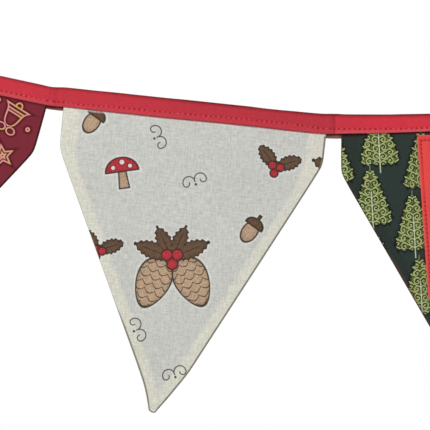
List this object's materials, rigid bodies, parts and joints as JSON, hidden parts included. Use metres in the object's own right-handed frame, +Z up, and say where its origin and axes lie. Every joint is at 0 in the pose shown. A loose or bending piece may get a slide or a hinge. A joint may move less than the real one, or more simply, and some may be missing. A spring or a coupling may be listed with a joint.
{
  "type": "fabric bunting",
  "caption": "Shield-shaped cotton pennants that hang in a row from a folded red binding tape, with a rectangular patch sewn on the last of them.",
  "frame": {"origin": "on the tape's folded top edge, above the middle pennant, in the middle of the cloth's thickness", "axes": "+X to the right along the row of pennants, +Y to the back, +Z up; the front of the pennants faces -Y"},
  "size_m": [0.6418, 0.0053, 0.2666],
  "materials": {
    "red_tape": "matt plain-weave cotton binding with topstitching",
    "burgundy_cotton": "matt plain-weave cotton with a pale line print",
    "cream_cotton": "matt slubby cotton with a small woodland print",
    "green_cotton": "matt plain-weave cotton with a fir tree print",
    "red_patch": "matt plain-weave cotton with topstitching all round"
  },
  "bodies": {
    "root": {"tape": "red_tape", "flag_left": "burgundy_cotton", "flag_middle": "cream_cotton", "flag_right": "green_cotton", "patch": "red_patch"}
  },
  "joints": []
}
